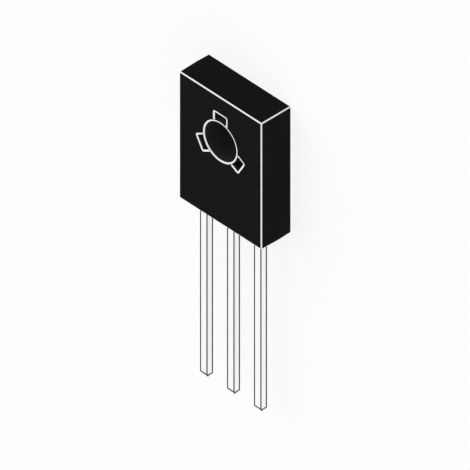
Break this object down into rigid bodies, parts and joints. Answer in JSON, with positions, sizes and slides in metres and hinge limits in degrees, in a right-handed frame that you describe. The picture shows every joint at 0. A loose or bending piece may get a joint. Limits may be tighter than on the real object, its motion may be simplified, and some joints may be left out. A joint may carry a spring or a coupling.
{
  "type": "darlington transistor",
  "caption": "Flat moulded power transistor with a mounting hole through its body, a metal mounting face and straight leads.",
  "frame": {"origin": "centre of the mounting hole, on the metal mounting face that the part lies on", "axes": "+Z out of the front face, +Y along the body away from the leads, +X to the right seen from the front with the leads down"},
  "size_m": [0.0078, 0.025, 0.0027],
  "materials": {
    "epoxy": "matte",
    "tinned_frame": "satin",
    "tinned_lead": "satin",
    "silicon": "gloss",
    "solder": "satin",
    "bond_wire": "satin"
  },
  "bodies": {
    "root": {"moulded_body": "epoxy", "collector_frame": "tinned_frame", "emitter_lead": "tinned_lead", "base_lead": "tinned_lead", "darlington_chip": "silicon", "die_solder": "solder", "emitter_wire": "bond_wire", "base_wire": "bond_wire"}
  },
  "joints": []
}
